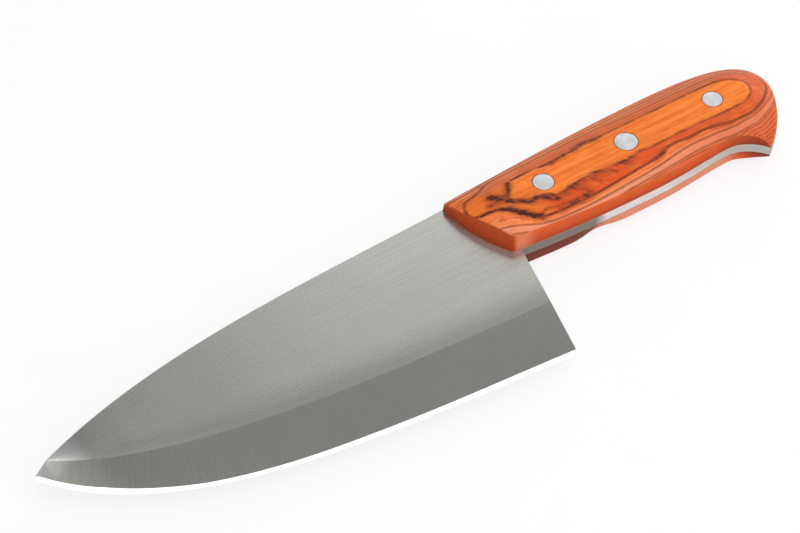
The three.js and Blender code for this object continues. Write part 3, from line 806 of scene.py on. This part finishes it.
def laminated_wood():
    """Dyed birch veneers pressed in resin, shaped, sanded and oiled.

    Sanding the crown cuts through the pile, so each veneer shows as a band and each bond as a thin dark line
    round the amber face veneer. The walls show the veneers edge-on. The oil leaves a silky gloss.
    """
    made, tree, shader, mm = finish_of("laminated wood, dyed, sanded and oiled", Specular_IOR_Level=0.2)
    (core, veneer, way), (streaks, bonds, grown), (tear, feather, ear) = (
        add(tree, "SeparateXYZ", (add(tree, "Attribute", attribute_name=label).outputs["Vector"],)).outputs
        for label in ("places", "marks", "zones")
    )
    x, y, _ = add(tree, "SeparateXYZ", (mm,)).outputs

    # Noises drawn out to sizes in mm and turned. Grain runs along the handle, about 1.8 mm apart, and fibres
    # of 0.05 mm are drawn 0.35 mm wide, to show. Dark strokes are torn across the grain, in slivers, flecks
    # and blotches.
    grain, fibre, torn, fleck, blotch = (
        add(tree, "TexNoise", {
            "Vector": add(tree, "Mapping", (mm, (0, 0, 0), (0, 0, turn), size), vector_type="TEXTURE"),
            "Scale": 1.0, "Detail": detail, "Roughness": rough, "Distortion": 0.3,
        }) for size, turn, detail, rough in (
            ((45, 1.8, 1.8), 0.0, 3.0, 0.5), ((7, 0.35, 0.35), 0.0, 2.0, 0.5),
            ((4, 1.1, 2), -1.05, 4.0, 0.65), ((3, 0.9, 1), -0.4, 4.0, 0.7), ((8, 2.6, 3), -0.5, 3.0, 0.6),
        )
    )
    specks = add(tree, "Math", (torn, fleck))
    sliver, ragged, torn_ear, place, step, figure = (
        add(tree, "Math", terms, operation="MULTIPLY_ADD") for terms in (
            (torn, 1.2, -1.7), (specks, 2.4, -1.4), (torn, 0.6, ear),
            (grain, GRAIN_SWAY, veneer), (grain, 0.5, way), (blotch, 0.35, grain),
        )
    )
    tatter = add(tree, "Math", (blotch, 2.2, sliver), operation="MULTIPLY_ADD")
    out = add(tree, "Math", (tatter, tear, core), operation="MULTIPLY_ADD")
    ring, layer = (
        add(tree, "TexNoise", {"W": steps, "Scale": scale, "Detail": 1.0}, noise_dimensions="1D")
        for steps, scale in ((step, 1.0), (place, 0.9))
    )
    ring_line = add(tree, "Math", (add(tree, "Math", (ring, -0.5)),), operation="ABSOLUTE")
    layer_line = add(tree, "Math", (place, 0.5), operation="PINGPONG")
    off_core = add(tree, "Math", (out,), operation="ABSOLUTE")
    faced, beyond, patchy, flecked, drifting = (
        add(tree, "MapRange", ends) for ends in (
            (veneer, 1.0, 1.3, 1.0, 0.0), (veneer, 3.0, 3.6, 0.0, 1.0), (blotch, 0.38, 0.58, 0.4, 1.0),
            (fleck, 0.2, 0.8, 0.75, 1.25), (blotch, 0.35, 0.65, 0.2, 1.3),
        )
    )
    spread = add(tree, "Math", (streaks, 0.3), operation="POWER")
    hung, broken, inky, smoky, flecked_bonds = (
        add(tree, "Math", pair, operation="MULTIPLY") for pair in (
            (tatter, feather), (faced, patchy), (streaks, ragged), (spread, drifting), (bonds, flecked),
        )
    )
    feathered = add(tree, "Math", (hung, 1.9, feather), operation="MULTIPLY_ADD")

    # Bands of the face, ten to the ramp, the amber of the core, and the walls, which darken towards the steel
    # as painted shade
    sway = GRAIN_SWAY / 2
    bands = add(tree, "ValToRGB", (add(tree, "MapRange", (place, sway, sway + 10)),), stops=(
        (0.00, "#de5519"), (0.09, "#da5016"), (0.105, "#f07c40"), (0.145, "#ee7a3e"), (0.152, "#c85e2e"),
        (0.16, "#f08850"), (0.19, "#ee8048"), (0.205, "#ee9468"), (0.25, "#e48868"), (0.29, "#ec8e68"),
        (0.31, "#e47a4a"), (0.40, "#e06e3a"), (0.60, "#dc6732"), (1.00, "#d45c28"),
    ))
    amber = add(tree, "ValToRGB", (figure,), stops=(
        (0.50, "#e0681c"), (0.58, "#ee7a28"), (0.64, "#ea7222"), (0.69, "#f27e2a"), (0.9, "#f88e3a"),
    ))
    low = add(tree, "MapRange", (place, WALL_MARK + sway, WALL_MARK + WALL_VENEERS + sway))
    walls = add(tree, "ValToRGB", (low,), stops=(
        (0.0, "#e2642a"), (0.35, "#d8521a"), (0.7, "#c64616"), (1.0, "#943012"),
    ))
    rearward = add(tree, "MapRange", (x, 20.0, 120.0))
    dusty = add(tree, "ValToRGB", (rearward,), stops=((0.2, "#4a1405"), (0.9, "#86360f")))
    ink = add(tree, "ValToRGB", (inky,), stops=((0.45, "#8e3c16"), (0.75, "#5c1e0c"), (1.0, "#30100a")))

    # One over another: each comes in as its value goes from a start to an end, up to its most
    wood = bands
    for value, start, end, most, colour in (
        (torn_ear, 0.6, 1.0, 0.85, linear("#ea7528")),
        (y, 71.0, 80.0, 0.7, linear("#f0812e")),
        (x, 75.0, 100.0, 0.45, linear("#d85f2c")),
        (blotch, 0.5, 0.75, faced, linear("#f27e2c")),
        (feathered, 0.3, 0.95, 0.78, linear("#5c1c08")),
        (ring, 0.42, 0.7, grown, linear("#ca6230")),
        (ring_line, 0.08, 0.0, grown, linear("#96421c")),
        (out, 0.2, -0.2, 1.0, amber),
        (veneer, WALL_MARK - 4, WALL_MARK - 1, 1.0, walls),
        (layer, 0.45, 0.9, beyond, linear("#be5628")),
        (layer_line, 0.2, 0.04, beyond, linear("#96401c")),
        (off_core, 0.85, 0.2, broken, dusty),
        # Below 0 the bonds' column makes the walls paler: painted light on the right scale's belly, a pale
        # patch on the left
        (bonds, 0.0, -1.0, 0.85, linear("#d88868")),
        # Above 0 it darkens bonds, sanding dust and the holes' stain, and paints shade on the walls
        (flecked_bonds, 0.08, 0.8, 0.95, linear("#5a1c0a")),
        (smoky, 0.25, 1.0, 0.6, linear("#a8481a")),
        (streaks, 0.02, 0.75, 0.6, linear("#96390f")),
        (inky, 0.42, 0.85, 0.9, ink),
    ):
        share = add(tree, "MapRange", (value, start, end, 0.0, most))
        wood = add(tree, "Mix", {0: share, 6: wood, 7: colour}, data_type="RGBA")
    fibrous = add(tree, "MapRange", (fibre, 0.3, 0.7, 0.88, 1.08))
    fit(shader, {
        "Base Color": add(tree, "VectorMath", (wood, fibrous), operation="MULTIPLY"),
        "Roughness": add(tree, "MapRange", (fibre, 0.3, 0.7, 0.52, 0.4)),
        "Normal": add(tree, "Bump", {"Height": fibre, "Strength": 0.15, "Distance": FIBRE_DEPTH}),
    })
    return made


def mottled(name, light, dark, patch, roughness, metallic):
    """A plain finish clouded by noise of a patch size in mm, in colour and in gloss."""
    made, tree, shader, mm = finish_of(name, Metallic=metallic)
    cloud = add(tree, "TexNoise", {"Vector": mm, "Scale": 1 / patch, "Detail": 4.0, "Roughness": 0.6})
    dull, bright = roughness + MOTTLED_SPREAD, roughness - MOTTLED_SPREAD
    fit(shader, {
        "Base Color": add(tree, "ValToRGB", (cloud,), stops=((0.35, dark), (0.65, light))),
        "Roughness": add(tree, "MapRange", (cloud, 0.3, 0.7, dull, bright)),
        "Normal": add(tree, "Bump", {"Height": cloud, "Strength": 0.1, "Distance": SCRATCH_DEPTH}),
    })
    return made


# Stainless steel from a belt: lengthwise on the flat, which gives it a soft grey sheen. Scratches of 0.05 mm
# are drawn about 0.6 mm wide, to show. The roll has painted shade, darker towards the grind line, and towards
# the tip flat and bevel alike have painted shade. The point has a painted highlight.
flat_steel = brushed(
    "stainless steel, belt-brushed lengthwise", "#c3c2bd", "#b7b6b0", 0.28, 40.0, 0.6, strength=0.008,
    shades=(
        ("Z", 1.748, 1.55, 0.42, "#858580"),
        ("X", 149.0, 164.0, 0.4, "#8e8d89"),
        ("X", 167.0, 180.0, 0.85, "#f0f0ee"),
    ),
)
# Ground square to the edge, so the bevel throws less of the light from behind to the eye and looks darker
bevel_steel = brushed(
    "stainless steel, ground across the bevel", "#9c9c97", "#93928d", 0.3, 16.0, 0.45, True, 0.004,
    # Painted shade towards the tip, and a painted highlight at the point
    shades=(("X", 150.0, 184.0, 0.45, "#757571"), ("X", 192.0, 203.0, 0.28, "#e0e0de")),
)
# Honed on a fine stone, so the edge is a bright line
edge_steel = brushed("stainless steel, honed edge", "#fbfcfd", "#f0f2f4", 0.18, 3.0, 0.4, True, 0.02)
# Spine and heel are only linished after blanking, so they are duller
spine_steel = brushed("stainless steel, linished edges", "#bdbab6", "#a8a5a1", 0.42, 8.0, 0.5)
# The tang is sanded bright with the wood. It is darker towards the butt, and its front has painted shade
tang_steel = brushed(
    "stainless steel, sanded with the wood", "#e9e2e0", "#d8d0cd", 0.4, 8.0, 0.5,
    shades=(("X", 47.5, 42.5, 1.0, "#857a73"), ("X", 76.0, 106.0, 1.0, "#bab2ac")),
)
wood = laminated_wood()
# Soft aluminium, driven and sanded flush with the wood: pale and matt, with smeared patches
rivet_aluminium = mottled("aluminium, driven and sanded flush", "#d3d3d2", "#c0c3c8", 3.2, 0.5, 1.0)
# Squeezed-out epoxy, set cloudy and amber
cured_epoxy = mottled("epoxy adhesive, cured", "#b89a72", "#9c7d58", 3.0, 0.45, 0.0)

blade_finishes = flat_steel, bevel_steel, edge_steel, spine_steel, tang_steel
make("blade", blade_sheets(), blade_finishes, ground_across)

# Painted shade on the walls along the rim: dark under the beak and at the front end, and a pale patch behind
# that. The right scale's belly has painted shade in front of the pinch and under the beak, and painted light
# between them.
UNDER_BEAK = (94, 112, 115, 117), (0, 0.5, 0.5, 0)
FRONT_SHADE = 0.28
PALE_CORNER = (0.5, 1.5, 5, 10), (0, 0.6, 0.6, 0)  # from the front's lower corner
FAR_SHADE, FAR_LIGHT = 0.75, -1.0
PINCH_SHADE = (-3, 4)  # ends of the change at the pinch
BEAK_SHADE = -5  # start of the change from the hollow to the beak

turned_streaks = [(*kind, [(x, 2 * rivet_rise - y) for x, y in line]) for *kind, line in STREAKS]
rim_x, rim_y = rim.T
low_side = rim_y < rivet_rise
# The left scale's walls: painted shade under the beak and at the front end, paler behind the front's lower
# corner
at_front = np.interp(rim_x, (FRONT_LEAN, FRONT_LEAN + 1), (FRONT_SHADE, 0))
near_shade_and_pale = np.maximum(np.interp(rim_x, *UNDER_BEAK) * low_side, at_front)
near_shade_and_pale -= np.interp(rim_x - FRONT_LEAN, *PALE_CORNER) * low_side
make("left_scale", scale_sheets(rim_sides, STREAKS, near_shade_and_pale), (wood,), veneers)
far_side = np.array((1, 1, -1, *[1] * WOOD_COLUMNS))
# The right scale's belly: painted shade in front of the pinch and under the beak, painted light between
past_pinch = smooth(rim_x, PINCH_AT + PINCH_SHADE[0], PINCH_AT + PINCH_SHADE[1])
to_beak = smooth(rim_x, hollow[0] + BEAK_SHADE, beak[0])
far_shade_and_light = (FAR_LIGHT + (FAR_SHADE - FAR_LIGHT) * (1 - past_pinch + to_beak)) * (rim_y < front_low[1])
right_sheets = scale_sheets(straightened(rim_sides), turned_streaks, far_shade_and_light)
far_sheets = [(points * far_side, *rest) for points, *rest in right_sheets]
make("right_scale", far_sheets, (wood,), veneers)
for name, at in rivets.items():
    for half, sheet in (("post", post_sheet), ("sleeve", sleeve_sheet)):
        metal = [(sheet(at, HEAD_RADII[name]), 0)]
        make(f"{name}_rivet_{half}", metal, (rivet_aluminium,))
for side in ("left", "right"):
    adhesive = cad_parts[f"{side}_adhesive"].data.materials
    adhesive.clear()
    adhesive.append(cured_epoxy)


# Studio

FLOOR_RADIUS = 4.0  # metres
FLOOR_SIDES = 64
FLOOR_GAP = 0.0001  # metres below the knife
FLOOR_GLOW = 0.8  # share of plain white in the floor that the camera and the steel see


def seen(right, away, up):
    """A point of the studio, in metres from the camera's aim: to its right, away from it and up."""
    turn = math.radians(KNIFE_TURN)
    x, y = right * math.cos(turn) + away * math.sin(turn), away * math.cos(turn) - right * math.sin(turn)
    return (CAMERA_AIM + PLACE) / METRE + (x, y, up)


def placed(*axes_and_place):
    """Placement of an object from its three axes and its place."""
    return Matrix(np.vstack((np.column_stack(axes_and_place), (0, 0, 0, 1))).tolist())


def facing(at, target):
    """Placement of a lamp that looks from one point to another, its long side level."""
    back = unit(at - target)
    side = unit(np.cross((0, 0, 1), back))
    return placed(side, np.cross(back, side), back, at)


def softbox(name, at, target, wide, tall, brightness):
    """A soft panel. Its power is its brightness, where 1 is white, times pi times its area."""
    lamp = bpy.data.lights.new(name, "AREA")
    lamp.shape, lamp.size, lamp.size_y = "RECTANGLE", wide, tall
    lamp.energy = brightness * math.pi * wide * tall
    holder = stand(name, lamp)
    holder.matrix_world = facing(np.array(at), np.array(target))
    holder.visible_camera = False


# A key at the camera's right, a box overhead that the point mirrors, and a panel behind that the flat mirrors
middle = seen(0, 0, 0)
softbox("key_softbox", seen(0.5, -0.75, 1.0), middle, 2.4, 1.9, 1.45)
softbox("top_softbox", seen(0.13, 0.79, 2.05), middle, 2.0, 0.7, 1.4)
softbox("back_panel", seen(0.42, 0.55, 0.31), seen(0.42, 0, 0.31), 1.1, 0.56, 1.2)

# A grey room for the steel to mirror, white at the level of the floor and overhead
world = bpy.data.worlds.new("studio")
world.use_nodes = True
bpy.context.scene.world = world
sky = world.node_tree
level = add(sky, "SeparateXYZ", (add(sky, "TexCoord").outputs["Generated"],)).outputs["Z"]
fit(sky.nodes["Background"], (add(sky, "ValToRGB", (level,), stops=(
    (0.0, "#ffffff"), (0.40, "#a8a8a8"), (0.62, "#808080"), (0.80, "#686868"), (0.93, "#707070"),
    (0.97, "#e8e8e8"), (1.0, "#ffffff"),
)),))

floor_mesh = bpy.data.meshes.new("floor")
floor_plan = circle(0, FLOOR_RADIUS, FLOOR_SIDES)
floor_mesh.from_pydata(raised(floor_plan, -FLOOR_GAP), [], [range(FLOOR_SIDES)])
floor = stand("floor", floor_mesh)
# Matt white paper, which glows where the camera or the steel sees it and still keeps the knife's shadow
paper = mottled("matt paper floor", "#fbfbfb", "#f8f8f8", 40.0, 0.8, 0.0)
floor_tree = paper.node_tree
ray = add(floor_tree, "LightPath").outputs
mirrored = add(floor_tree, "Math", (ray["Is Glossy Ray"], ray["Is Transmission Ray"]), operation="MAXIMUM")
looked_at = add(floor_tree, "Math", (ray["Is Camera Ray"], mirrored), operation="MAXIMUM")
glow = add(floor_tree, "Math", (looked_at, FLOOR_GLOW), operation="MULTIPLY")
white = add(floor_tree, "Emission", (linear("#ffffff"), 1.0))
lit = add(floor_tree, "MixShader", (glow, floor_tree.nodes["Principled BSDF"], white))
fit(floor_tree.nodes["Material Output"], {"Surface": lit})
floor_mesh.materials.append(paper)

tilt, roll = math.radians(CAMERA_TILT), math.radians(CAMERA_ROLL)
right, up = np.array((1, 0, 0)), np.array((0, math.sin(tilt), math.cos(tilt)))
turns = (
    right * math.cos(roll) + up * math.sin(roll),
    up * math.cos(roll) - right * math.sin(roll),
    (0, -math.cos(tilt), math.sin(tilt)),
)
axes = [seen(*axis) - middle for axis in turns]
camera = stand("camera", bpy.data.cameras.new("camera"))
camera.data.lens, camera.data.sensor_width, camera.data.clip_end = CAMERA_LENS, CAMERA_SENSOR, CAMERA_SIGHT
camera.matrix_world = placed(*axes, middle + axes[2] * CAMERA_REACH / METRE)
bpy.context.scene.camera = camera
bpy.context.scene.view_settings.view_transform = "Standard"
